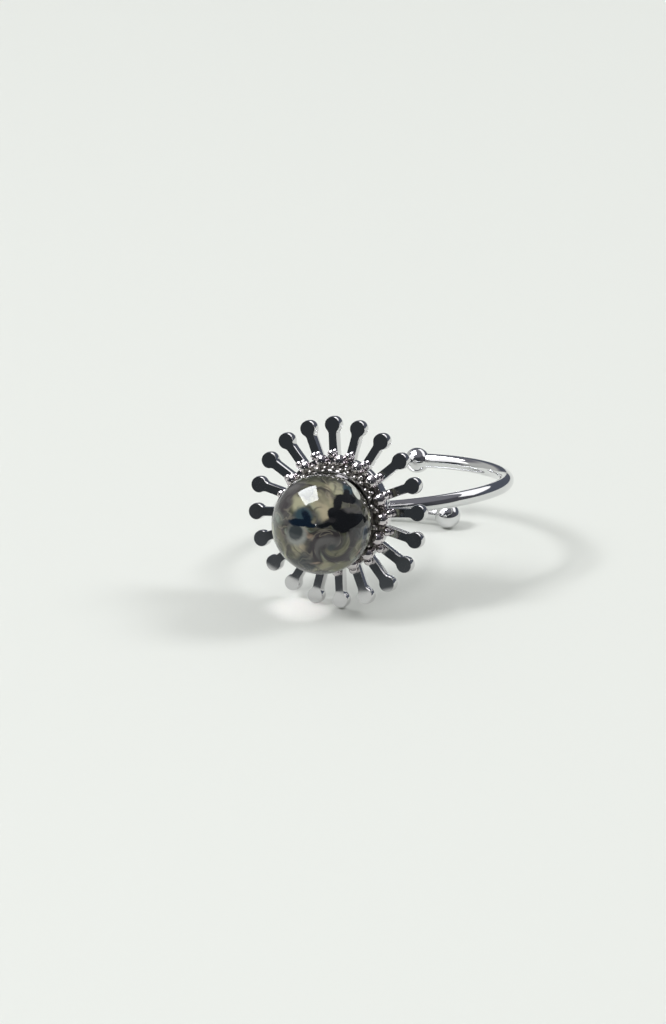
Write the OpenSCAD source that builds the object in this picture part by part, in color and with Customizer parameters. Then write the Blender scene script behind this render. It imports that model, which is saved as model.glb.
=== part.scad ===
// Open flower ring: a round glass dome in a beaded cup, on a flat flower of round-headed stamens,
// carried by a bypass band of round wire with a ball at each end. It stands as it comes to rest on
// a table: on the heads of two stamens and on the lower ball.

/* [Flower] */
// Number of stamens round the flower
stamens = 20; // [18:2:22]
// Radius of the circle through the stamens' heads
head_circle_r = 7.07; // [6.9:0.01:7.4]
// Radius of a stamen's round head
head_r = 0.68; // [0.6:0.01:0.7]
// Width of a stamen's stem
stem_w = 0.77; // [0.6:0.01:0.8]
// Radius of the hollow curve where a stem widens into its head
neck_r = 0.45; // [0.3:0.01:0.6]
// Radius of the round plate that the stems grow from
root_r = 4.55; // [4.4:0.01:4.8]
// Thickness of the flower's sheet
sheet_t = 0.8; // [0.6:0.01:1]

/* [Band] */
// Radius of each arm's bend, to the middle of the wire
band_r = 9.3; // [9:0.05:10.5]
// Radius of the wire
wire_r = 0.6; // [0.5:0.01:0.65]
// Radius of the ball at each end
ball_r = 1.06; // [0.9:0.01:1.2]
// Angle through which the right arm bends
right_arm_turn = 192.7; // [186:0.1:196]
// Angle through which the left arm bends
left_arm_turn = 183.3; // [178:0.1:190]
// How far the right arm leans up at the flower, and then halfway along it
right_arm_lean = [2.8, 5]; // [0:0.1:10]
// How far the left arm leans down at the flower, and then halfway along it
left_arm_lean = [4.4, 8.7]; // [0:0.1:12]
// Rise of the wire from left to right behind the flower
wire_rise = 1.4; // [0:0.1:3]
// Turn of the loop to the right, seen from above
loop_turn = 2; // [0:0.1:3]
// Radius of the round pad that joins the band to the flower
pad_r = 2; // [1.5:0.1:2.5]
// Thickness of the pad
pad_t = 0.5; // [0.3:0.05:0.7]

/* [Beaded cup] */
// Number of big beads round the crown
big_beads = 17; // [16:1:18]
// Radius of the big beads
big_bead_r = 0.55; // [0.5:0.01:0.58]
// Radius of the small beads, one on the root of each stem
stem_bead_r = 0.34; // [0.34:0.01:0.4]
// Radius of the beads of the inner row, between the wall and the gaps of the big beads
inner_bead_r = 0.27; // [0.25:0.01:0.28]
// Radius of the fine beads along the rim
rim_bead_r = 0.2; // [0.18:0.01:0.22]
// Outer radius of the cup's wall
cup_r = 3.62; // [3.6:0.01:3.65]
// Thickness of the wall, whose rim is rounded
cup_wall_t = 0.34; // [0.3:0.01:0.36]
// Height of the rim above the flower's face
cup_h = 1; // [0.9:0.01:1.1]
// Thickness of the cup's floor
cup_floor_t = 0.32; // [0.25:0.01:0.4]
// Radius of the cup's floor, which reaches out under the beads
cup_floor_r = 4.5; // [4.46:0.01:4.52]

/* [Stone] */
// Radius of the glass dome
stone_r = 4; // [3.9:0.01:4.1]
// Height of the dome's middle above the flower's face
stone_h = 3.25; // [3.2:0.01:3.4]
// How far the stone lies to the right of the flower's middle, and above it
stone_offset = [0.2, -0.5]; // [-0.5:0.01:0.5]

/* [Hidden] */
$fn = 64;
// Sides of the largest circles, and of the wire and the beads
large_fn = 128;
small_fn = 32;
// Gap between one piece and the next
seam = 0.03;
// How deep the solder joins one bead to the next
solder = 0.05;
// A hair's breadth, which lifts one round face clear of another that it would just touch
hair = 0.01;
// How far a cut runs past what it cuts
past = 1;
pitch = 360 / stamens;
big_bead_pitch = 360 / big_beads;

// The ring is worked out with the flower's face in the XZ plane at y = 0, its middle at the
// origin, the wearer's finger along Z and the band behind it, towards +Y.

// Distances of a neck's hollow curve from the stem's axis and from the head's middle
neck_x = neck_r + stem_w / 2;
neck_y = sqrt(pow(neck_r + head_r, 2) - pow(neck_x, 2));

// Circles of beads: distance from the flower's axis, height above its face, and for the big ones
// the angle of the first. The big and the small ones stand on the floor, the inner row lies deep in
// the wall's solder between the big ones, and the fine ones sit on the round rim.
big_bead_at = 4.3;
big_bead_h = seam + hair + big_bead_r;
big_bead_from = 10;
stem_bead_at = 4.79;
stem_bead_h = seam + hair + stem_bead_r;
inner_bead_at = cup_r + inner_bead_r - 2 * solder;
inner_bead_h = 0.7;
rim_middle_r = cup_r - cup_wall_t / 2;
rim_middle_h = cup_h - cup_wall_t / 2;
rim_bead_out = cup_wall_t / 2 + rim_bead_r - solder;
rim_bead_up = 35;
rim_bead_at = rim_middle_r + rim_bead_out * cos(rim_bead_up);
rim_bead_h = rim_middle_h + rim_bead_out * sin(rim_bead_up);

stone_base_h = seam + cup_floor_t + seam;
stone_middle = [stone_offset[0], stone_offset[1], stone_h];

// The wire lies a little further back than the pad's face. It is followed as a point, the way it
// runs, and the way to the middle of its bend.
wire_y = sheet_t + 2 * seam + wire_r;
function bent(at, turn) = [
    at[0] + band_r * (sin(turn) * at[1] + (1 - cos(turn)) * at[2]),
    cos(turn) * at[1] + sin(turn) * at[2],
    cos(turn) * at[2] - sin(turn) * at[1]
];
function leaned(at, lean) = [
    at[0],
    at[1],
    cos(lean) * at[2] + sin(lean) * cross(at[1], at[2])
];
wire_way = [
    cos(wire_rise) * cos(loop_turn),
    -cos(wire_rise) * sin(loop_turn),
    sin(wire_rise)
];
loop_way = [sin(loop_turn), cos(loop_turn), 0];
right_start = [[0, wire_y, 0], wire_way, loop_way];
left_start = [[0, wire_y, 0], -wire_way, loop_way];
right_near = leaned(right_start, right_arm_lean[0]);
right_far = leaned(bent(right_near, right_arm_turn / 2), right_arm_lean[1]);
left_near = leaned(left_start, left_arm_lean[0]);
left_far = leaned(bent(left_near, left_arm_turn / 2), left_arm_lean[1]);
right_end = bent(right_far, right_arm_turn / 2)[0];
left_end = bent(left_far, left_arm_turn / 2)[0];

// At rest the ring is rolled so that two stamens reach the floor together, and then the flower
// tips back until the left arm's ball is down too.
rest_roll = pitch / 2;
function rolled(p) = [
    cos(rest_roll) * p[0] - sin(rest_roll) * p[2],
    p[1],
    sin(rest_roll) * p[0] + cos(rest_roll) * p[2]
];
foot_drop = head_circle_r * cos(pitch / 2) + head_r;
ball_back = rolled(left_end)[1] - sheet_t;
ball_up = foot_drop + rolled(left_end)[2];
rest_tip = acos(ball_r / norm([ball_up, ball_back])) - atan2(ball_back, ball_up);
flower_h = foot_drop * cos(rest_tip) + sheet_t * sin(rest_tip);

// The origin lies on the floor, under the middle of the ring's width and depth
function tipped_y(p) = cos(rest_tip) * rolled(p)[1] + sin(rest_tip) * rolled(p)[2];
function arc_middle(at) = at[0] + band_r * at[2];
function arc_reach(at) = wire_r + band_r * sqrt(1 - pow(rolled(cross(at[1], at[2]))[0], 2));
right_x = rolled(arc_middle(right_near))[0] + arc_reach(right_near);
left_x = rolled(arc_middle(left_near))[0] - arc_reach(left_near);
front_y = tipped_y([stone_offset[0], -stone_h, stone_offset[1]]) - stone_r;
rear_y = tipped_y(right_end) + ball_r;

module at_rest() {
    translate([-(left_x + right_x) / 2, -(front_y + rear_y) / 2, flower_h])
        rotate([-rest_tip, 0, 0])
            rotate([0, -rest_roll, 0])
                children();
}

// Stands its children, drawn on the XY plane, up on the flower's face with Z towards the viewer
module on_face() {
    rotate([90, 0, 0]) children();
}

// A stamen's stem, neck and head, lying along Y with its face on top
module stamen() {
    translate([-stem_w / 2, root_r - stem_w, 0])
        cube([stem_w, head_circle_r - root_r + stem_w, sheet_t]);
    translate([0, head_circle_r, 0]) {
        cylinder(r = head_r, h = sheet_t);
        difference() {
            linear_extrude(sheet_t)
                polygon([[0, 0], [neck_x, -neck_y], [-neck_x, -neck_y]]);
            for (side = [-1, 1])
                translate([side * neck_x, -neck_y, -past])
                    cylinder(r = neck_r, h = sheet_t + 2 * past);
        }
    }
}

module flower() {
    color("silver")
        at_rest() on_face()
            translate([0, 0, -sheet_t]) {
                cylinder(r = root_r, h = sheet_t, $fn = large_fn);
                for (i = [0 : stamens - 1])
                    rotate([0, 0, i * pitch]) stamen();
            }
}

// One bend of the wire, from where the wire has got to
module wire_arc(at, turn) {
    normal = cross(at[1], at[2]);
    middle = arc_middle(at);
    multmatrix([
        [-at[2][0], at[1][0], normal[0], middle[0]],
        [-at[2][1], at[1][1], normal[1], middle[1]],
        [-at[2][2], at[1][2], normal[2], middle[2]],
        [0, 0, 0, 1]
    ])
        rotate_extrude(angle = turn, $fn = large_fn)
            translate([band_r, 0]) circle(r = wire_r, $fn = small_fn);
}

module band() {
    color("silver")
        at_rest() {
            wire_arc(right_near, right_arm_turn / 2);
            wire_arc(right_far, right_arm_turn / 2);
            wire_arc(left_near, left_arm_turn / 2);
            wire_arc(left_far, left_arm_turn / 2);
            // A ball joins two bends where they meet
            for (at = [right_start, right_far, left_far])
                translate(at[0]) sphere(r = wire_r + hair);
            translate(right_end) sphere(r = ball_r);
            translate(left_end) sphere(r = ball_r);
            translate([0, sheet_t + seam + pad_t, 0])
                on_face() cylinder(r = pad_r, h = pad_t);
        }
}

// The dome with its flat base, grown all round by a margin
module dome(margin) {
    translate(stone_middle)
        difference() {
            sphere(r = stone_r + margin, $fn = large_fn);
            translate([0, 0, stone_base_h - margin - stone_h - 2 * stone_r])
                cylinder(r = 2 * stone_r, h = 2 * stone_r);
        }
}

// The cup's floor, and its wall with a round rim, hollowed for the stone
module cup() {
    translate([0, 0, seam]) cylinder(r = cup_floor_r, h = cup_floor_t, $fn = large_fn);
    difference() {
        union() {
            translate([0, 0, seam])
                cylinder(r = cup_r, h = rim_middle_h - seam, $fn = large_fn);
            translate([0, 0, rim_middle_h])
                rotate_extrude($fn = large_fn)
                    translate([rim_middle_r, 0]) circle(d = cup_wall_t, $fn = small_fn);
        }
        translate([0, 0, seam + cup_floor_t])
            cylinder(r = cup_r - cup_wall_t, h = cup_h, $fn = large_fn);
        dome(seam);
    }
}

// A circle of beads, without those whose place the stone takes
module bead_ring(r, at, h, from, step) {
    for (angle = [from : step : from + 359]) {
        place = [-sin(angle) * at, cos(angle) * at, h];
        if (norm(place - stone_middle) > stone_r + r + seam)
            translate(place) sphere(r = r, $fn = small_fn);
    }
}

module beaded_cup() {
    color("gainsboro")
        at_rest() on_face() {
            cup();
            bead_ring(big_bead_r, big_bead_at, big_bead_h, big_bead_from, big_bead_pitch);
            bead_ring(stem_bead_r, stem_bead_at, stem_bead_h, 0, pitch);
            bead_ring(inner_bead_r, inner_bead_at, inner_bead_h,
                big_bead_from + big_bead_pitch / 2, big_bead_pitch);
            bead_ring(rim_bead_r, rim_bead_at, rim_bead_h,
                big_bead_from + big_bead_pitch / 4, big_bead_pitch / 2);
        }
}

module stone() {
    color("dimgray")
        at_rest() on_face() dome(0);
}

band();
flower();
beaded_cup();
stone();
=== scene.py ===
import random
from math import acos, asin, atan2, cos, pi, radians, sin, sqrt

import bpy
from mathutils import Matrix, Vector


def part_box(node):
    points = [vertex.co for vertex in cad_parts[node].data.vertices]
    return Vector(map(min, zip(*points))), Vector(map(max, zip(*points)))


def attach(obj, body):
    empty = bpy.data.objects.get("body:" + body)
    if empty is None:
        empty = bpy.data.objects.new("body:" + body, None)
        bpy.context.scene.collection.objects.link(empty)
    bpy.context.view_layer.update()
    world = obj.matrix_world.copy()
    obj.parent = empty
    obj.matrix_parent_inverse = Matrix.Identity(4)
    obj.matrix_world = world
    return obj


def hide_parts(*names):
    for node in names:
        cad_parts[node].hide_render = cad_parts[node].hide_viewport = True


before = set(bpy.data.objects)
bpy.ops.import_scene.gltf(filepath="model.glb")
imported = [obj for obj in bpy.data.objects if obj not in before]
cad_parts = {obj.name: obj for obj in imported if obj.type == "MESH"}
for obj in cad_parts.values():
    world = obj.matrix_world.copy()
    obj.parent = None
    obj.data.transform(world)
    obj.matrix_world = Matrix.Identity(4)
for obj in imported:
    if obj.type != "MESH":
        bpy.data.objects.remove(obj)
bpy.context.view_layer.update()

# Band. Round steel wire bent by hand into an open loop, whose two arms lean apart and pass each
# other at the back. A ball is soldered on each end, and a round pad on the middle of the wire,
# where the flower sits.
MM = 0.001
SEAM = 0.03 * MM
same_place = 0.001 * MM
stamens = 20
pitch = 2 * pi / stamens
sheet_t = 0.8 * MM
band_r = 9.3 * MM
wire_r = 0.6 * MM
ball_r = 1.06 * MM
pad_r = 2 * MM
pad_t = 0.5 * MM
right_arm_turn = radians(192.7)
left_arm_turn = radians(183.3)
right_arm_lean = (radians(2.8), radians(5))
left_arm_lean = (radians(4.4), radians(8.7))
wire_rise = radians(1.4)
loop_turn = radians(2)
wire_sides = 48
bend_steps = 96
pad_sides = 96
pad_edge_r = 0.08 * MM


def bent(place, turn):
    """Follows the wire round a bend: where it is, the way it runs, the way to the bend's middle."""
    at, way, inward = place
    return (
        at + band_r * (sin(turn) * way + (1 - cos(turn)) * inward),
        cos(turn) * way + sin(turn) * inward,
        cos(turn) * inward - sin(turn) * way,
    )


def leaned(place, lean):
    """Leans the next bend by an angle, round the way the wire runs."""
    at, way, inward = place
    return at, way, cos(lean) * inward + sin(lean) * way.cross(inward)


def edit(select="DESELECT"):
    """Opens the active piece for editing, with everything or nothing selected."""
    bpy.ops.object.mode_set(mode="EDIT")
    bpy.ops.mesh.select_mode(type="VERT")
    bpy.ops.mesh.select_all(action=select)


def pick(chosen):
    """Selects the vertices of the piece in edit mode whose place passes the test."""
    bpy.ops.object.mode_set(mode="OBJECT")
    for vertex in bpy.context.object.data.vertices:
        vertex.select = bool(chosen(vertex.co))
    bpy.ops.object.mode_set(mode="EDIT")


def done():
    """Leaves edit mode, puts the piece's place in its mesh, and returns the piece."""
    bpy.ops.object.mode_set(mode="OBJECT")
    bpy.ops.object.transform_apply(location=True, rotation=True, scale=True)
    return bpy.context.object


def turn_round(centre, axis, angle, steps, copies=False):
    """Spins the selection round an axis by the right-hand rule."""
    bpy.ops.mesh.spin(steps=steps, dupli=copies, angle=-angle, center=centre, axis=axis)


def apply(piece, kind, **settings):
    """Gives a piece a modifier with its settings, and applies it."""
    bpy.ops.object.select_all(action="DESELECT")
    bpy.context.view_layer.objects.active = piece
    piece.select_set(True)
    modifier = piece.modifiers.new(kind.title(), kind)
    for name, value in settings.items():
        setattr(modifier, name, value)
    bpy.ops.object.modifier_apply(modifier=modifier.name)


def weld(piece, *others):
    """Melts other closed pieces into one, as solder does."""
    for other in others:
        apply(piece, "BOOLEAN", object=other, operation="UNION", solver="EXACT")
        bpy.data.objects.remove(other)


def polished(piece, name, sharp=35):
    """Names a piece and rounds its shading wherever its faces meet at less than the angle."""
    bpy.ops.object.select_all(action="DESELECT")
    bpy.context.view_layer.objects.active = piece
    piece.select_set(True)
    bpy.ops.object.shade_smooth_by_angle(angle=radians(sharp))
    piece.name = name
    return piece


def ball(radius, centre, segments=48, rings=32):
    """Adds a ball whose place is in its mesh."""
    bpy.ops.mesh.primitive_uv_sphere_add(
        segments=segments, ring_count=rings, radius=radius, location=centre
    )
    bpy.ops.object.transform_apply(location=True, rotation=True, scale=True)
    return bpy.context.object


# The ring is modelled upright, with the flower's face on the plane y = 0, the finger along Z and
# the band towards +Y, and each finished piece is then laid down to rest
wire_y = sheet_t + 2 * SEAM + wire_r
wire_way = Vector((cos(wire_rise) * cos(loop_turn), -cos(wire_rise) * sin(loop_turn), sin(wire_rise)))
loop_way = Vector((sin(loop_turn), cos(loop_turn), 0))
right_near = leaned((Vector((0, wire_y, 0)), wire_way, loop_way), right_arm_lean[0])
right_far = leaned(bent(right_near, right_arm_turn / 2), right_arm_lean[1])
right_end = bent(right_far, right_arm_turn / 2)
left_near = leaned((Vector((0, wire_y, 0)), -wire_way, loop_way), left_arm_lean[0])
left_far = leaned(bent(left_near, left_arm_turn / 2), left_arm_lean[1])
left_end = bent(left_far, left_arm_turn / 2)

bpy.ops.object.select_all(action="DESELECT")
bpy.ops.mesh.primitive_circle_add(
    vertices=wire_sides,
    radius=wire_r,
    location=right_near[0],
    rotation=wire_way.to_track_quat("Z", "Y").to_euler(),
)
band = done()
for arm in (
    ((right_near, right_arm_turn), (right_far, right_arm_turn)),
    ((left_near, left_arm_turn), (left_far, left_arm_turn)),
):
    edit()
    pick(lambda co: (co - right_near[0]).length < wire_r + same_place)
    for (at, way, inward), turn in arm:
        turn_round(at + band_r * inward, way.cross(inward), turn / 2, bend_steps)
    bpy.ops.mesh.edge_face_add()
    done()
edit("SELECT")
bpy.ops.mesh.remove_doubles(threshold=same_place)
bpy.ops.mesh.normals_make_consistent(inside=False)
done()

balls = [ball(ball_r, right_end[0]), ball(ball_r, left_end[0])]
bpy.ops.mesh.primitive_cylinder_add(
    vertices=pad_sides,
    radius=pad_r,
    depth=pad_t,
    location=(0, sheet_t + SEAM + pad_t / 2, 0),
    rotation=(pi / 2, 0, 0),
)
pad = done()
apply(pad, "BEVEL", width=pad_edge_r, segments=3, limit_method="ANGLE", angle_limit=radians(60))
weld(band, pad, *balls)
polished(band, "band_wire")

# At rest the ring is rolled so that two stamens reach the floor together, and the flower tips back
# until the lower ball is down too. The glass dome's place in the frame says where that is.
head_circle_r = 7.07 * MM
head_r = 0.68 * MM
stone_r = 4 * MM
stone_middle = Vector((0.2, -3.25, -0.5)) * MM
rest_roll = pitch / 2
rolled = Matrix.Rotation(-rest_roll, 4, "Y")
lower_ball = rolled @ left_end[0]
ball_back = lower_ball.y - sheet_t
ball_up = head_circle_r * cos(rest_roll) + head_r + lower_ball.z
rest_tip = acos(ball_r / Vector((ball_up, ball_back)).length) - atan2(ball_back, ball_up)
tipped = Matrix.Rotation(-rest_tip, 4, "X") @ rolled
stone_low, stone_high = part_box("stone")
stone_at = Vector(
    (
        (stone_low.x + stone_high.x) / 2,
        stone_low.y + stone_r,
        (stone_low.z + stone_high.z) / 2,
    )
)
at_rest = Matrix.Translation(stone_at - tipped @ stone_middle) @ tipped


def lay_down(piece, slot, *nodes):
    """Lays a finished piece down with the others, and gives it its place in the frame."""
    piece.data.transform(at_rest)
    piece.data.update()
    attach(piece, "root")
    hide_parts(*nodes)


lay_down(band, "polished_metal", "band")


def tint(red, green, blue):
    """A colour as the eye sees it, in 0 to 255, turned into light."""
    return *(((c / 255 + 0.055) / 1.055) ** 2.4 for c in (red, green, blue)), 1


def feed(tree, socket, value):
    """Links a node's input to another node's output, or sets it to a plain value."""
    if isinstance(value, bpy.types.NodeSocket):
        tree.links.new(value, socket)
    else:
        socket.default_value = value


def node(tree, kind, inputs, **choices):
    """Adds a node with its choices, and feeds its inputs by name or number."""
    made = tree.nodes.new("ShaderNode" + kind)
    for name, choice in choices.items():
        setattr(made, name, choice)
    for key, value in inputs.items():
        feed(tree, made.inputs[key], value)
    return made


def reckon(tree, operation, *values):
    return node(tree, "Math", dict(enumerate(values)), operation=operation).outputs[0]


def ease(tree, value, start, stop, low=0.0, high=1.0):
    """Runs smoothly from low to high while the value goes from start to stop."""
    ends = {"Value": value, "From Min": start, "From Max": stop, "To Min": low, "To Max": high}
    return node(tree, "MapRange", ends, interpolation_type="SMOOTHSTEP").outputs["Result"]


def lay_over(tree, mask, under, over):
    """Lays one colour over another as far as the mask goes."""
    values = {"Factor": mask, "A": under, "B": over}
    made = node(tree, "Mix", {}, data_type="RGBA")
    for socket in made.inputs:
        if socket.enabled and socket.name in values:
            feed(tree, socket, values[socket.name])
    return next(socket for socket in made.outputs if socket.enabled)


def effect(name, inputs, outputs):
    """Starts a shader group, and returns it with what it is given and what it gives out."""
    made = bpy.data.node_groups.new(name, "ShaderNodeTree")
    for key, kind in inputs.items():
        made.interface.new_socket(key, in_out="INPUT", socket_type="NodeSocket" + kind)
    for key, kind in outputs.items():
        made.interface.new_socket(key, in_out="OUTPUT", socket_type="NodeSocket" + kind)
    return made, made.nodes.new("NodeGroupInput").outputs, made.nodes.new("NodeGroupOutput").inputs


def finish(piece, name):
    """Gives a piece a new material, and returns its tree, its shader and the piece's own places."""
    made = bpy.data.materials.new(name)
    made.use_nodes = True
    piece.data.materials.clear()
    piece.data.materials.append(made)
    places = made.node_tree.nodes.new("ShaderNodeTexCoord").outputs["Object"]
    return made.node_tree, made.node_tree.nodes["Principled BSDF"], places


# Bright metal: polished by hand until it mirrors, with faint smears where fingers held it and
# the last waviness that the mop leaves under the gloss
hand_polish, given, out = effect(
    "hand_polish",
    {"Place": "Vector", "Smears": "Float", "Gloss": "Float", "Wear": "Float", "Ripples": "Float"},
    {"Roughness": "Float", "Height": "Float"},
)
smears = node(
    hand_polish, "TexNoise", {"Vector": given["Place"], "Scale": given["Smears"], "Detail": 4}
)
smeared = ease(hand_polish, smears.outputs["Fac"], 0.4, 0.75)
worn = reckon(hand_polish, "MULTIPLY_ADD", smeared, given["Wear"], given["Gloss"])
hand_polish.links.new(worn, out["Roughness"])
ripples = node(
    hand_polish, "TexNoise", {"Vector": given["Place"], "Scale": given["Ripples"], "Detail": 2}
)
hand_polish.links.new(ripples.outputs["Fac"], out["Height"])


def polish(piece, name, colour, smears, gloss, wear, ripples, depth):
    """Finishes a piece in bright metal with its own amount of smears, wear and ripples."""
    tree, gloss_shader, places = finish(piece, name)
    values = {"Place": places, "Smears": smears, "Gloss": gloss, "Wear": wear, "Ripples": ripples}
    group = node(tree, "Group", values, node_tree=hand_polish)
    bump = node(tree, "Bump", {"Height": group.outputs["Height"], "Distance": depth})
    gloss_shader.inputs["Base Color"].default_value = colour
    gloss_shader.inputs["Metallic"].default_value = 1
    tree.links.new(group.outputs["Roughness"], gloss_shader.inputs["Roughness"])
    tree.links.new(bump.outputs["Normal"], gloss_shader.inputs["Normal"])
    return tree, gloss_shader


polish(
    band,
    "drawn_wire_steel",
    tint(222, 222, 223),
    smears=500,
    gloss=0.02,
    wear=0.05,
    ripples=1500,
    depth=0.002 * MM,
)

# Flower. One sheet of steel, cut out as twenty stamens with round heads on thin stems that grow
# from a round middle. Tumbling has worn its sides barrel-round and left the face flat to the edge,
# and each head is dished back by a hair, so that the lowest ones mirror the floor.
stem_w = 0.77 * MM
neck_r = 0.45 * MM
root_r = 4.55 * MM
side_wear = 0.05 * MM
side_wear_power = 3
side_steps = 10
dish_from_r = 5.95 * MM
dish_reach = head_circle_r + head_r - dish_from_r
dish_depth = 0.033 * MM
neck_x = neck_r + stem_w / 2
neck_y = sqrt((neck_r + head_r) ** 2 - neck_x**2)
neck_angle = atan2(neck_y, neck_x)
root_y = sqrt(root_r**2 - (stem_w / 2) ** 2)
root_angle = pitch / 2 - asin(stem_w / 2 / root_r)
head_steps = 32
neck_steps = 10
root_steps = 4
head_slices = 18

# The sheet is drawn lying flat, face up: one half of the top stamen, mirrored and spun round
bpy.ops.object.select_all(action="DESELECT")
bpy.ops.mesh.primitive_plane_add(size=head_r, location=(0, head_circle_r + head_r, 0))
bpy.ops.object.transform_apply(location=True)
edit("SELECT")
bpy.ops.mesh.merge(type="CENTER")
turn_round((0, head_circle_r, 0), (0, 0, 1), -(pi / 2 + neck_angle), head_steps)
turn_round((neck_x, head_circle_r - neck_y, 0), (0, 0, 1), neck_angle, neck_steps)
bpy.ops.mesh.extrude_region_move(
    TRANSFORM_OT_translate={"value": (0, root_y - head_circle_r + neck_y, 0)}
)
turn_round((0, 0, 0), (0, 0, 1), -root_angle, root_steps)
bpy.ops.mesh.extrude_region_move(
    TRANSFORM_OT_translate={"value": (-root_r * sin(pitch / 2), -root_r * cos(pitch / 2), 0)}
)
flower = done()
apply(flower, "MIRROR", merge_threshold=same_place)
edit("SELECT")
bpy.ops.mesh.remove_doubles(threshold=same_place)
bpy.ops.mesh.edge_face_add()
for k in range(head_slices):
    bpy.ops.mesh.select_all(action="SELECT")
    bpy.ops.mesh.bisect(
        plane_co=(0, dish_from_r + dish_reach * k / head_slices, 0),
        plane_no=(0, 1, 0),
        threshold=same_place,
    )
bpy.ops.mesh.select_all(action="SELECT")
turn_round((0, 0, 0), (0, 0, 1), pitch * (stamens - 1), stamens - 1, copies=True)
bpy.ops.mesh.select_all(action="SELECT")
bpy.ops.mesh.remove_doubles(threshold=same_place)
bpy.ops.mesh.normals_make_consistent(inside=False)
done()
if sum(face.normal.z for face in flower.data.polygons) < 0:
    edit("SELECT")
    bpy.ops.mesh.flip_normals()
    done()
apply(flower, "SOLIDIFY", thickness=sheet_t, offset=-1)
edit()
for k in range(1, side_steps):
    bpy.ops.mesh.select_all(action="SELECT")
    bpy.ops.mesh.bisect(
        plane_co=(0, 0, -sheet_t * k / side_steps), plane_no=(0, 0, 1), threshold=same_place
    )
done()
ways_out = [vertex.normal.xy.normalized() for vertex in flower.data.vertices]
for vertex, way_out in zip(flower.data.vertices, ways_out):
    off_middle = abs(vertex.co.z + sheet_t / 2) / (sheet_t / 2)
    vertex.co.xy -= side_wear * off_middle**side_wear_power * way_out
    dished = max(0, vertex.co.xy.length - dish_from_r) / dish_reach
    vertex.co.z -= dish_depth * dished**2
flower.data.transform(Matrix.Rotation(pi / 2, 4, "X"))
polished(flower, "flower_stamens")
lay_down(flower, "polished_metal", "flower")
polish(
    flower,
    "cut_sheet_steel",
    tint(218, 217, 218),
    smears=700,
    gloss=0.02,
    wear=0.06,
    ripples=900,
    depth=0.0008 * MM,
)

# Beaded cup. A lathe-turned seat with a thin wall and a polished round rim, and a crown of beads
# soldered round it: seventeen big ones, a small one on the root of each stem, and finer grains up
# to the rim. The wall is cut away where the round glass leans over it.
cup_r = 3.62 * MM
cup_wall_t = 0.34 * MM
cup_h = 1 * MM
cup_floor_t = 0.32 * MM
cup_floor_r = 4.5 * MM
solder = 0.05 * MM
hair = 0.01 * MM
big_bead_r = 0.55 * MM
stem_bead_r = 0.34 * MM
inner_bead_r = 0.27 * MM
rim_bead_r = 0.2 * MM
grain_r = 0.16 * MM
big_beads = 17
big_bead_pitch = 2 * pi / big_beads
big_bead_from = radians(10)
between_big_beads = big_bead_from + big_bead_pitch / 2
big_bead_at = 4.3 * MM
big_bead_h = SEAM + hair + big_bead_r
stem_bead_h = SEAM + hair + stem_bead_r
stem_bead_at = 4.79 * MM
inner_bead_at = cup_r + inner_bead_r - 2 * solder
inner_bead_h = 0.7 * MM
grain_at = 4.05 * MM
grain_h = 0.95 * MM
rim_middle_r = cup_r - cup_wall_t / 2
rim_middle_h = cup_h - cup_wall_t / 2
rim_bead_out = cup_wall_t / 2 + rim_bead_r - solder
rim_bead_up = radians(35)
cup_sides = 160
rim_steps = 12
stone_centre = Vector((stone_middle.x, stone_middle.z, -stone_middle.y))

# The cup is turned lying flat, face up, and gets its crown before it is set upright
bpy.ops.object.select_all(action="DESELECT")
bpy.ops.mesh.primitive_plane_add(size=cup_wall_t, location=(cup_floor_r, 0, SEAM))
bpy.ops.object.transform_apply(location=True)
edit("SELECT")
bpy.ops.mesh.merge(type="CENTER")
for step in (
    (0, 0, cup_floor_t),
    (cup_r - cup_floor_r, 0, 0),
    (0, 0, rim_middle_h - SEAM - cup_floor_t),
):
    bpy.ops.mesh.extrude_region_move(TRANSFORM_OT_translate={"value": step})
turn_round((rim_middle_r, 0, rim_middle_h), (0, 1, 0), -pi, rim_steps)
for step in (
    (0, 0, SEAM + cup_floor_t - rim_middle_h),
    (cup_wall_t - cup_r, 0, 0),
    (0, 0, -cup_floor_t),
    (cup_floor_r, 0, 0),
):
    bpy.ops.mesh.extrude_region_move(TRANSFORM_OT_translate={"value": step})
bpy.ops.mesh.select_all(action="SELECT")
bpy.ops.mesh.remove_doubles(threshold=same_place)
turn_round((0, 0, 0), (0, 0, 1), 2 * pi, cup_sides)
bpy.ops.mesh.select_all(action="SELECT")
bpy.ops.mesh.remove_doubles(threshold=same_place)
bpy.ops.mesh.normals_make_consistent(inside=False)
cup = done()
glass_room = ball(stone_r + SEAM, stone_centre, segments=128, rings=96)
apply(cup, "BOOLEAN", object=glass_room, operation="DIFFERENCE", solver="EXACT")
bpy.data.objects.remove(glass_room)

uneven = random.Random(7)
crown = [cup]


def bead_ring(radius, at, height, start, step, loose, segments=24):
    """Lays a circle of slightly uneven beads, and leaves out those whose place the glass takes."""
    for k in range(round(2 * pi / step)):
        angle = start + k * step + uneven.uniform(-loose, loose) * radius / at
        out = at + uneven.uniform(-loose, loose) * radius
        size = radius * (1 - uneven.uniform(0, loose))
        place = Vector((-sin(angle) * out, cos(angle) * out, height))
        if (place - stone_centre).length > stone_r + size + SEAM:
            crown.append(ball(size, place, segments, segments * 2 // 3))


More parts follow.
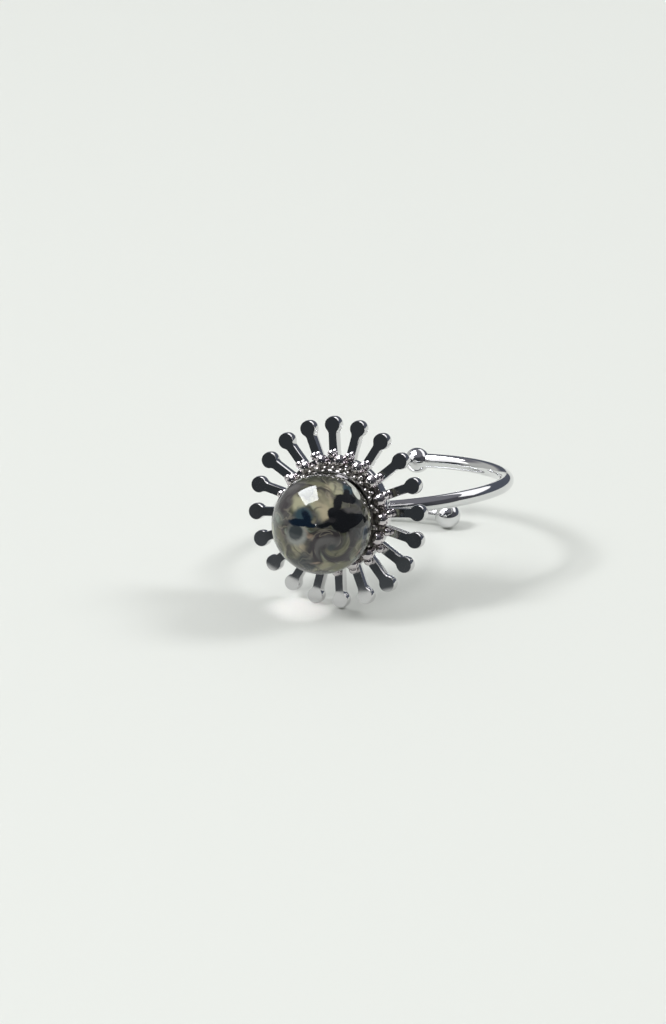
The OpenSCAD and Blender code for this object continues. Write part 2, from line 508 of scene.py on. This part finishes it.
bead_ring(
    big_bead_r, big_bead_at, big_bead_h, big_bead_from, big_bead_pitch, loose=0.04, segments=32
)
bead_ring(stem_bead_r, stem_bead_at, stem_bead_h, 0, pitch, loose=0.06, segments=28)
bead_ring(inner_bead_r, inner_bead_at, inner_bead_h, between_big_beads, big_bead_pitch, loose=0.1)
bead_ring(
    rim_bead_r,
    rim_middle_r + rim_bead_out * cos(rim_bead_up),
    rim_middle_h + rim_bead_out * sin(rim_bead_up),
    big_bead_from + big_bead_pitch / 4,
    big_bead_pitch / 2,
    loose=0.12,
    segments=20,
)
# The finest grains fill the dips behind the inner row
bead_ring(grain_r, grain_at, grain_h, between_big_beads, big_bead_pitch, loose=0.3, segments=14)
bpy.ops.object.select_all(action="DESELECT")
for bead in crown:
    bead.select_set(True)
bpy.context.view_layer.objects.active = cup
bpy.ops.object.join()
cup.data.transform(Matrix.Rotation(pi / 2, 4, "X"))
polished(cup, "cup_and_beads", sharp=40)
lay_down(cup, "polished_metal", "beaded_cup")
bright_bead = tint(214, 208, 210)
dull_solder = tint(188, 184, 180)
dull_from_r = (3.4 * MM, 3.54 * MM)
dull_to_r = (4 * MM, 4.3 * MM)
dull_roughness = 0.3

# The polishing mop hardly reached the solder between the inner beads, so it is duller there
tree, gloss = polish(
    cup,
    "soldered_bead_steel",
    bright_bead,
    smears=1100,
    gloss=0.03,
    wear=0.08,
    ripples=4000,
    depth=0.002 * MM,
)
in_ring = node(
    tree,
    "Mapping",
    {
        "Vector": tree.nodes.new("ShaderNodeTexCoord").outputs["Object"],
        "Location": at_rest.translation,
        "Rotation": at_rest.to_euler(),
    },
    vector_type="TEXTURE",
).outputs[0]
off_axis = node(tree, "VectorMath", {0: in_ring, 1: (1, 0, 1)}, operation="MULTIPLY").outputs[0]
from_axis = node(tree, "VectorMath", {0: off_axis}, operation="LENGTH").outputs["Value"]
dull_within = ease(tree, from_axis, *dull_to_r, 1.0, 0.0)
dull = reckon(tree, "MULTIPLY", ease(tree, from_axis, *dull_from_r), dull_within)
tree.links.new(lay_over(tree, dull, bright_bead, dull_solder), gloss.inputs["Base Color"])
smeared = gloss.inputs["Roughness"].links[0].from_socket
tree.links.new(reckon(tree, "MULTIPLY_ADD", dull, dull_roughness, smeared), gloss.inputs["Roughness"])

# Stone. A round bead of opaque marbled glass, flat underneath where it is glued into the cup, with
# swirls of khaki, tan and purple grey under a clear gloss. The glass maker laid black and navy
# patches on last, and the side that faces the viewer shows them.
stone_base_h = SEAM + cup_floor_t + SEAM
shown_azimuth = radians(24.58)
shown_elevation = radians(21.43)
shown_roll = 0.016
khaki = tint(164, 162, 136)
sand = tint(140, 136, 114)
olive = tint(108, 107, 87)
dark_olive = tint(70, 71, 57)
tan = tint(168, 158, 134)
grey_green = tint(116, 124, 116)
purple_grey = tint(52, 47, 51)
ash = tint(86, 84, 84)
smoke = tint(54, 51, 53)
slate = tint(56, 61, 63)
rose = tint(134, 118, 104)
pale_grey = tint(134, 136, 132)
blue_grey = tint(72, 80, 90)
teal = tint(54, 72, 80)
navy = tint(16, 28, 42)
jet = tint(18, 20, 23)
soot = tint(44, 43, 45)
pale_strand = tint(164, 158, 140)
# Painted light: a pale tone laid where the glass is clear, standing for the bright backdrop that shows
# through it
clear = tint(218, 220, 212)

stone = ball(stone_r, stone_centre, segments=160, rings=120)
edit("SELECT")
bpy.ops.mesh.bisect(
    plane_co=(0, 0, stone_base_h), plane_no=(0, 0, -1), clear_outer=True, threshold=same_place
)
bpy.ops.mesh.select_all(action="DESELECT")
bpy.ops.mesh.select_non_manifold()
bpy.ops.mesh.edge_face_add()
stone = done()
stone.data.transform(Matrix.Rotation(pi / 2, 4, "X"))
polished(stone, "marbled_stone")
lay_down(stone, "marbled_glass", "stone")

# The way that the ring is looked at, with right and up as seen from there
forward = Vector(
    (
        -sin(shown_azimuth) * cos(shown_elevation),
        cos(shown_azimuth) * cos(shown_elevation),
        -sin(shown_elevation),
    )
)
level_right = Vector((cos(shown_azimuth), sin(shown_azimuth), 0))
level_up = level_right.cross(forward)
right = cos(shown_roll) * level_right + sin(shown_roll) * level_up
up = cos(shown_roll) * level_up - sin(shown_roll) * level_right
facing = Matrix((right, up, -forward)).transposed()

# A patch of coloured glass, round or long, with a crisp or a soft edge
glass_patch, given, out = effect(
    "glass_patch",
    {"Place": "Vector", "Middle": "Vector", "Reach": "Vector", "Turn": "Float", "Softness": "Float"},
    {"Mask": "Float"},
)
straight = node(
    glass_patch,
    "VectorRotate",
    {"Vector": given["Place"], "Center": given["Middle"], "Angle": given["Turn"]},
    rotation_type="Z_AXIS",
).outputs[0]
offset = node(glass_patch, "VectorMath", {0: straight, 1: given["Middle"]}, operation="SUBTRACT")
reached = node(
    glass_patch, "VectorMath", {0: offset.outputs[0], 1: given["Reach"]}, operation="DIVIDE"
)
outward = node(
    glass_patch, "VectorMath", {0: reached.outputs[0]}, operation="LENGTH"
).outputs["Value"]
solid_to = reckon(glass_patch, "SUBTRACT", 1, given["Softness"])
gone_at = reckon(glass_patch, "ADD", 1, given["Softness"])
glass_patch.links.new(ease(glass_patch, outward, solid_to, gone_at, 1.0, 0.0), out["Mask"])

# Places in the glass are counted in radii from its middle, right, up and towards the viewer
tree, gloss, places = finish(stone, "marbled_glass")
in_stone = node(
    tree,
    "Mapping",
    {
        "Vector": places,
        "Location": stone_at,
        "Rotation": facing.to_euler(),
        "Scale": (stone_r, stone_r, stone_r),
    },
    vector_type="TEXTURE",
).outputs[0]


def stirred(place, scale, reach):
    """Draws the glass about, as stirring it while it is soft does."""
    swirl = node(tree, "TexNoise", {"Vector": place, "Scale": scale, "Detail": 2})
    centred = node(
        tree, "VectorMath", {0: swirl.outputs["Color"], 1: (0.5, 0.5, 0.5)}, operation="SUBTRACT"
    )
    drawn = node(tree, "VectorMath", {0: centred.outputs[0], 3: reach}, operation="SCALE")
    return node(tree, "VectorMath", {0: place, 1: drawn.outputs[0]}).outputs[0]


# The glass is wound up once, low in the middle
curl_middle = (0.2, -0.4, 0.9)
curl_core_r = 0.02
curl_r = 0.5
curl_most = radians(120)
curl_off = node(
    tree, "VectorMath", {0: in_stone, 1: curl_middle}, operation="DISTANCE"
).outputs["Value"]
curl_turn = ease(tree, curl_off, curl_core_r, curl_r, curl_most, 0.0)
curled = node(
    tree,
    "VectorRotate",
    {"Vector": in_stone, "Center": curl_middle, "Angle": curl_turn},
    rotation_type="Z_AXIS",
).outputs[0]
loose = stirred(stirred(curled, 1.6, 0.55), 4.5, 0.12)
crisp = stirred(stirred(in_stone, 5, 0.08), 13, 0.045)

marbling = node(tree, "TexNoise", {"Vector": loose, "Scale": 2.3, "Detail": 5, "Distortion": 0.6})
ramp = tree.nodes.new("ShaderNodeValToRGB")
tree.links.new(marbling.outputs["Fac"], ramp.inputs[0])
bands = (
    (0.32, purple_grey),
    (0.4, slate),
    (0.46, ash),
    (0.52, dark_olive),
    (0.58, grey_green),
    (0.68, khaki),
)
while len(ramp.color_ramp.elements) < len(bands):
    ramp.color_ramp.elements.new(0.5)
for element, (at, colour) in zip(ramp.color_ramp.elements, bands):
    element.position = at
    element.color = colour
shown = ramp.outputs["Color"]

# More jet is strewn round the sides and the back
turned_away = ease(tree, node(tree, "SeparateXYZ", {0: in_stone}).outputs["Z"], 0.35, 0.0)
strewn = node(tree, "TexNoise", {"Vector": stirred(in_stone, 3, 0.3), "Scale": 1.7, "Detail": 1})
jet_there = ease(tree, strewn.outputs["Fac"], 0.6, 0.63)
shown = lay_over(tree, reckon(tree, "MULTIPLY", jet_there, turned_away), shown, jet)
patch_depth = 0.5


def patch_over(under, colour, across, rise, half_w, half_h, turn, softness, place):
    """Lays one patch over what is there, so far right and up of the middle, turned in degrees."""
    values = {
        "Place": place,
        "Middle": (across, rise, sqrt(max(0, 1 - across**2 - rise**2))),
        "Reach": (half_w, half_h, patch_depth),
        "Turn": radians(-turn),
        "Softness": softness,
    }
    group = node(tree, "Group", values, node_tree=glass_patch)
    return lay_over(tree, group.outputs["Mask"], under, colour)


def strands_over(under, colour, place, scale, width, amount):
    """Lays thin strands of another glass over what is there, here and there along its flow."""
    flow = node(tree, "TexNoise", {"Vector": place, "Scale": scale, "Detail": 1.5, "Distortion": 0.3})
    off = reckon(tree, "ABSOLUTE", reckon(tree, "SUBTRACT", flow.outputs["Fac"], 0.5))
    strand = ease(tree, off, 0.0, width, 1.0, 0.0)
    here = node(
        tree,
        "TexNoise",
        {"Vector": place, "Scale": scale * 0.8, "Detail": 1, "W": 3},
        noise_dimensions="4D",
    )
    share = ease(tree, here.outputs["Fac"], 0.42, 0.6, 0.0, amount)
    return lay_over(tree, reckon(tree, "MULTIPLY", strand, share), under, colour)


# Each patch: its glass, how far right and up of the middle it lies, half its width and height, its
# turn, the softness of its edge, and the stirring that drew it out
stirred_patches = (
    (olive, 0.05, 0.62, 0.45, 0.38, 0, 0.4, loose),
    (dark_olive, -0.05, 0.93, 0.5, 0.1, 0, 0.5, loose),
    (grey_green, -0.9, 0.15, 0.1, 0.4, 0, 0.5, loose),
    (purple_grey, -0.7, 0.48, 0.15, 0.26, -35, 0.4, loose),
    (ash, -0.45, 0.74, 0.2, 0.12, 35, 0.5, loose),
    (dark_olive, -0.62, 0.3, 0.06, 0.09, 15, 0.5, loose),
    (khaki, -0.12, 0.36, 0.14, 0.2, 20, 0.5, loose),
    (sand, 0.02, 0.4, 0.22, 0.3, 10, 0.5, loose),
    (tan, 0.15, 0.66, 0.07, 0.2, -12, 0.5, loose),
    (tan, -0.02, 0.22, 0.1, 0.2, 20, 0.6, loose),
    (khaki, 0.33, 0.72, 0.12, 0.16, 35, 0.5, loose),
    (dark_olive, 0.82, 0.36, 0.14, 0.26, 25, 0.4, loose),
    (olive, -0.78, -0.3, 0.14, 0.32, 15, 0.4, loose),
    (rose, -0.72, -0.22, 0.04, 0.2, 18, 0.5, loose),
    (sand, -0.47, -0.5, 0.26, 0.16, -40, 0.35, loose),
    (tan, -0.44, -0.45, 0.13, 0.06, -40, 0.5, loose),
    (dark_olive, -0.6, -0.66, 0.13, 0.08, -40, 0.5, loose),
    (slate, -0.3, -0.72, 0.2, 0.13, -35, 0.4, loose),
    (smoke, 0.0, -0.42, 0.38, 0.34, 0, 0.3, loose),
    (purple_grey, -0.16, -0.5, 0.12, 0.3, 30, 0.5, loose),
    (purple_grey, 0.5, -0.5, 0.1, 0.3, -25, 0.5, loose),
    (ash, 0.08, -0.46, 0.14, 0.2, -20, 0.6, loose),
    (olive, 0.42, -0.36, 0.1, 0.22, -12, 0.4, curled),
    (ash, 0.16, -0.28, 0.16, 0.05, -20, 0.6, loose),
    (slate, 0.25, -0.38, 0.09, 0.05, -40, 0.5, curled),
    (rose, -0.3, -0.2, 0.035, 0.17, 5, 0.4, loose),
    (sand, 0.06, -0.84, 0.3, 0.1, 8, 0.4, loose),
    (rose, -0.08, -0.72, 0.17, 0.03, -14, 0.5, loose),
    (purple_grey, 0.46, -0.68, 0.2, 0.1, 32, 0.4, loose),
    (olive, 0.42, -0.82, 0.24, 0.08, 25, 0.5, loose),
    (smoke, 0.6, -0.25, 0.07, 0.2, 10, 0.5, loose),
    (olive, 0.74, -0.4, 0.1, 0.2, -15, 0.5, loose),
    (rose, 0.8, -0.5, 0.04, 0.1, -20, 0.5, loose),
    (blue_grey, 0.86, -0.16, 0.07, 0.16, -10, 0.4, loose),
)
laid_patches = (
    (khaki, -0.5, 0.4, 0.15, 0.12, -20, 0.5, loose),
    (pale_grey, -0.5, -0.2, 0.2, 0.22, 0, 0.3, crisp),
    (slate, -0.52, -0.15, 0.15, 0.16, 0, 0.25, crisp),
    (teal, -0.36, 0.17, 0.17, 0.17, -30, 0.4, crisp),
    (navy, -0.3, 0.12, 0.08, 0.17, 20, 0.3, crisp),
    (navy, -0.42, 0.03, 0.27, 0.07, -8, 0.2, crisp),
    (navy, -0.22, -0.02, 0.11, 0.05, -5, 0.25, crisp),
    (teal, 0.52, 0.68, 0.12, 0.08, -30, 0.4, crisp),
    (jet, 0.5, 0.62, 0.06, 0.09, 20, 0.3, crisp),
    (jet, 0.5, 0.51, 0.2, 0.085, -10, 0.15, crisp),
    (jet, 0.32, 0.42, 0.085, 0.16, -5, 0.25, crisp),
    (jet, 0.25, 0.2, 0.12, 0.14, 25, 0.12, crisp),
    (jet, 0.43, 0.07, 0.27, 0.24, -8, 0.08, crisp),
    (jet, 0.66, 0.08, 0.28, 0.15, -8, 0.08, crisp),
    (soot, 0.13, 0.04, 0.14, 0.07, 25, 0.5, crisp),
    (jet, 0.08, -0.02, 0.18, 0.05, 12, 0.35, crisp),
    (ash, 0.5, 0.35, 0.13, 0.05, 5, 0.8, loose),
    # Two pale crescents at the upper right edge, where the glass is clear, are painted light for the
    # bright backdrop seen through it
    (clear, 0.56, 0.8, 0.15, 0.028, -45, 0.15, in_stone),
    (clear, 0.68, 0.63, 0.16, 0.05, -62, 0.12, in_stone),
)

# Each set of strands: its glass, the stirring that drew it out, the scale of its flow, the width of
# a strand, and how much of it shows
strands = (
    (smoke, loose, 1.5, 0.12, 0.85),
    (soot, loose, 2.6, 0.06, 0.6),
    (ash, curled, 2.3, 0.07, 0.5),
    (pale_strand, loose, 2.9, 0.05, 0.3),
)
for patch in stirred_patches:
    shown = patch_over(shown, *patch)
for strand in strands:
    shown = strands_over(shown, *strand)
for patch in laid_patches:
    shown = patch_over(shown, *patch)
tree.links.new(shown, gloss.inputs["Base Color"])
gloss.inputs["Roughness"].default_value = 0.02
gloss.inputs["IOR"].default_value = 1.52

# Setting. The camera stands where the photograph was taken from, over a pale paper floor that runs
# past the view. Two soft lamps and an even sky light the ring, and other lamps only show in what
# mirrors.
camera_distance = 480 * MM
photo_w, photo_h = 666, 1024
focal_px = 6000
flower_px = Vector((335.81, 512.55))
sensor = 36
paper_w = 4

flower_at = at_rest.translation
off_centre = (flower_px - Vector((photo_w, photo_h)) / 2) * camera_distance / focal_px
camera_at = flower_at - camera_distance * forward - off_centre.x * right + off_centre.y * up
lens = bpy.data.cameras.new("camera")
lens.lens = focal_px / photo_h * sensor
lens.sensor_width = sensor
lens.clip_start = 10 * MM
camera = bpy.data.objects.new("camera", lens)
camera.matrix_world = Matrix.Translation(camera_at) @ facing.to_4x4()
bpy.context.scene.collection.objects.link(camera)
bpy.context.scene.camera = camera

bpy.ops.mesh.primitive_plane_add(size=paper_w, location=(0, 0, 0))
floor = bpy.context.object
floor.name = "floor"
tree, gloss, places = finish(floor, "pale_paper")
paper = tint(231, 233, 229)
far_dark = tint(47, 51, 53)
dark_from = 46 * MM
dark_by = 66 * MM
# How much painted shade the paper near the ring shows in what mirrors see
painted_near_shade = 0.24
front_depth = 20 * MM

# In front, the paper is painted dark in what mirrors see: a painted reflection of the dark room past
# the paper's edge, and, near the ring, a painted shade a quarter of the way to that dark
mirrored = tree.nodes.new("ShaderNodeLightPath").outputs["Is Glossy Ray"]
rearward = node(tree, "SeparateXYZ", {0: places}).outputs["Y"]
from_ring = node(tree, "VectorMath", {0: places}, operation="LENGTH").outputs["Value"]
in_front = ease(tree, rearward, 0.0, -front_depth)
darkened = ease(tree, from_ring, dark_from, dark_by, painted_near_shade, 1.0)
far = reckon(tree, "MULTIPLY", darkened, in_front)
fibres = node(tree, "TexNoise", {"Vector": places, "Scale": 900, "Detail": 4})
tree.links.new(
    lay_over(tree, reckon(tree, "MULTIPLY", far, mirrored), paper, far_dark), gloss.inputs["Base Color"]
)
bump = node(tree, "Bump", {"Height": fibres.outputs["Fac"], "Distance": 0.01 * MM, "Strength": 0.3})
tree.links.new(bump.outputs["Normal"], gloss.inputs["Normal"])
gloss.inputs["Roughness"].default_value = 0.8
gloss.inputs["Specular IOR Level"].default_value = 0.2


def soft_box(name, way, distance, size, power, long_way=Vector((0, 1, 0)), mirrors=False, only=()):
    """Adds a lamp that faces the ring, and either lights it or shows in what mirrors."""
    lamp = bpy.data.lights.new(name, "AREA")
    lamp.shape = "RECTANGLE"
    lamp.size, lamp.size_y = size
    lamp.energy = power
    light = bpy.data.objects.new(name, lamp)
    back = way.normalized()
    along = (long_way - long_way.dot(back) * back).normalized()
    side = along.cross(back)
    turned = Matrix((side, along, back)).transposed().to_4x4()
    light.matrix_world = Matrix.Translation(stone_at + distance * back) @ turned
    light.visible_camera = False
    light.visible_glossy = mirrors
    light.visible_diffuse = not mirrors
    bpy.context.scene.collection.objects.link(light)
    if only:
        shown_to = bpy.data.collections.new(name + "_shows_in")
        for piece in only:
            shown_to.objects.link(piece)
        light.light_linking.receiver_collection = shown_to
    return light


def room_way(azimuth, elevation):
    """The way to a point of the room, where azimuth 0 is straight behind the ring."""
    round_by, rise = radians(azimuth), radians(elevation)
    return Vector((sin(round_by) * cos(rise), cos(round_by) * cos(rise), sin(rise)))


soft_box("front_left", Vector((-0.65, -0.7, 1)), distance=1.2, size=(0.3, 0.3), power=6.6)
soft_box("back_right", Vector((0.85, 0.65, 1)), distance=1.2, size=(0.36, 0.36), power=4.3)
overhead = soft_box(
    "overhead",
    Vector((-0.43, -0.03, 0.9)),
    distance=0.5,
    size=(0.27, 0.42),
    power=5,
    long_way=Vector((-0.45, 0.87, -0.2)),
    mirrors=True,
)
overhead.data.color = (0.94, 0.97, 1)
soft_box(
    "rear_screen",
    room_way(28, 41),
    distance=0.5,
    size=(0.2, 0.67),
    power=0.5,
    long_way=room_way(118, 0),
    mirrors=True,
    only=(band, flower),
)
soft_box(
    "rear_screen_left",
    room_way(-27, 46),
    distance=0.5,
    size=(0.22, 0.36),
    power=0.3,
    long_way=room_way(63, 0),
    mirrors=True,
    only=(flower,),
)
soft_box(
    "left_window",
    room_way(-130, 36),
    distance=0.5,
    size=(0.28, 0.5),
    power=0.5,
    long_way=room_way(-40, 0),
    mirrors=True,
    only=(band,),
)
soft_box(
    "beside_lens",
    Vector((0.176, -0.929, 0.326)),
    distance=0.45,
    size=(0.018, 0.018),
    power=0.02,
    mirrors=True,
)

# The polished flower throws some of the lamps' light down, on the paper before its lowest heads
thrown_px = Vector((298, 609))
thrown_from = 60 * MM
thrown_r = 3.2 * MM
across_px = thrown_px - Vector((photo_w, photo_h)) / 2
sight = focal_px * forward + across_px.x * right - across_px.y * up
thrown_at = camera_at - camera_at.z / sight.z * sight
thrown = bpy.data.lights.new("thrown_light", "SPOT")
thrown.spot_size = 2 * atan2(thrown_r, thrown_from)
thrown.spot_blend = 1
thrown.energy = 0.06
thrown_light = bpy.data.objects.new("thrown_light", thrown)
thrown_light.location = thrown_at + Vector((0, 0, thrown_from))
bpy.context.scene.collection.objects.link(thrown_light)
paper_only = bpy.data.collections.new("paper_only")
paper_only.objects.link(floor)
thrown_light.light_linking.receiver_collection = paper_only
thrown_light.light_linking.blocker_collection = paper_only

# What mirrors sees the room: a lilac grey ceiling, a dim blue wall behind, dark on the right and in
# front, and a pale wall on the left
world = bpy.data.worlds.new("studio")
world.use_nodes = True
bpy.context.scene.world = world
tree = world.node_tree
way = node(tree, "SeparateXYZ", {0: tree.nodes.new("ShaderNodeTexCoord").outputs["Generated"]}).outputs
round_to = reckon(tree, "ARCTAN2", way["X"], way["Y"])


def hang(under, colour, azimuths, elevations, softness):
    """Hangs a wall between two azimuths and two elevations in degrees, 0 being straight behind."""
    start, stop = (radians(angle) for angle in azimuths)
    low, high = (radians(angle) for angle in elevations)
    soft = radians(softness)
    mask = ease(tree, round_to, start - soft, start + soft)
    mask = reckon(tree, "MULTIPLY", mask, ease(tree, round_to, stop + soft, stop - soft))
    rise = reckon(tree, "ARCSINE", way["Z"])
    mask = reckon(tree, "MULTIPLY", mask, ease(tree, rise, low - soft, low + soft))
    mask = reckon(tree, "MULTIPLY", mask, ease(tree, rise, high + soft, high - soft))
    return lay_over(tree, mask, under, colour)


ceiling = (0.2, 0.2, 0.225, 1)
rear_wall = (0.1, 0.112, 0.14, 1)
right_wall = (0.08, 0.08, 0.092, 1)
front_right = (0.04, 0.045, 0.05, 1)
front_left = (0.036, 0.041, 0.045, 1)
left_wall = (0.52, 0.53, 0.51, 1)
sky = (0.51, 0.52, 0.51, 1)
backdrop = (0.82, 0.83, 0.82, 1)

# Each wall: its colour, its azimuths, its elevations, and how far its edges fade
walls = (
    (rear_wall, (-40, 80), (-90, 30), 4),
    (right_wall, (62, 200), (-90, 48), 8),
    (front_right, (120, 200), (-90, 40), 10),
    (front_left, (-200, -125), (-90, 40), 10),
    (left_wall, (-120, -48), (-90, 30), 6),
)
room = ceiling
for wall in walls:
    room = hang(room, *wall)
path = tree.nodes.new("ShaderNodeLightPath").outputs
seen = lay_over(tree, path["Is Glossy Ray"], lay_over(tree, path["Is Camera Ray"], sky, backdrop), room)
tree.links.new(seen, tree.nodes["Background"].inputs["Color"])
bpy.context.scene.view_settings.view_transform = "Standard"
